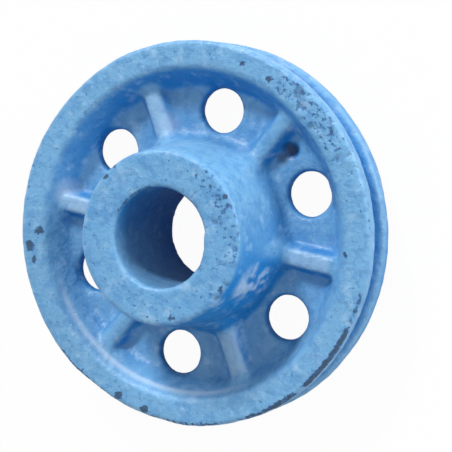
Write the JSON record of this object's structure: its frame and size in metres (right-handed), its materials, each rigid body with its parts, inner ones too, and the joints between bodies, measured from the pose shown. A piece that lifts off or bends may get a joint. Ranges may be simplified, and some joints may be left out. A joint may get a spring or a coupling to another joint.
{
  "type": "wire rope sheave",
  "caption": "Cast rope sheave with a long plain-bored hub, a ribbed web with round cored holes and a heavy grooved rim, painted blue.",
  "frame": {"origin": "centre of the bore on the hub's back end face, which the sheave lies on", "axes": "+Z along the bore, from the hub's back end to its long front end; +X is 19 degrees from the middle of one web hole"},
  "size_m": [0.254, 0.254, 0.086],
  "materials": {
    "painted_casting": "blue gloss enamel over an as-cast sand casting, chipped at the flange edge"
  },
  "bodies": {
    "root": {"sheave": "painted_casting"}
  },
  "joints": []
}
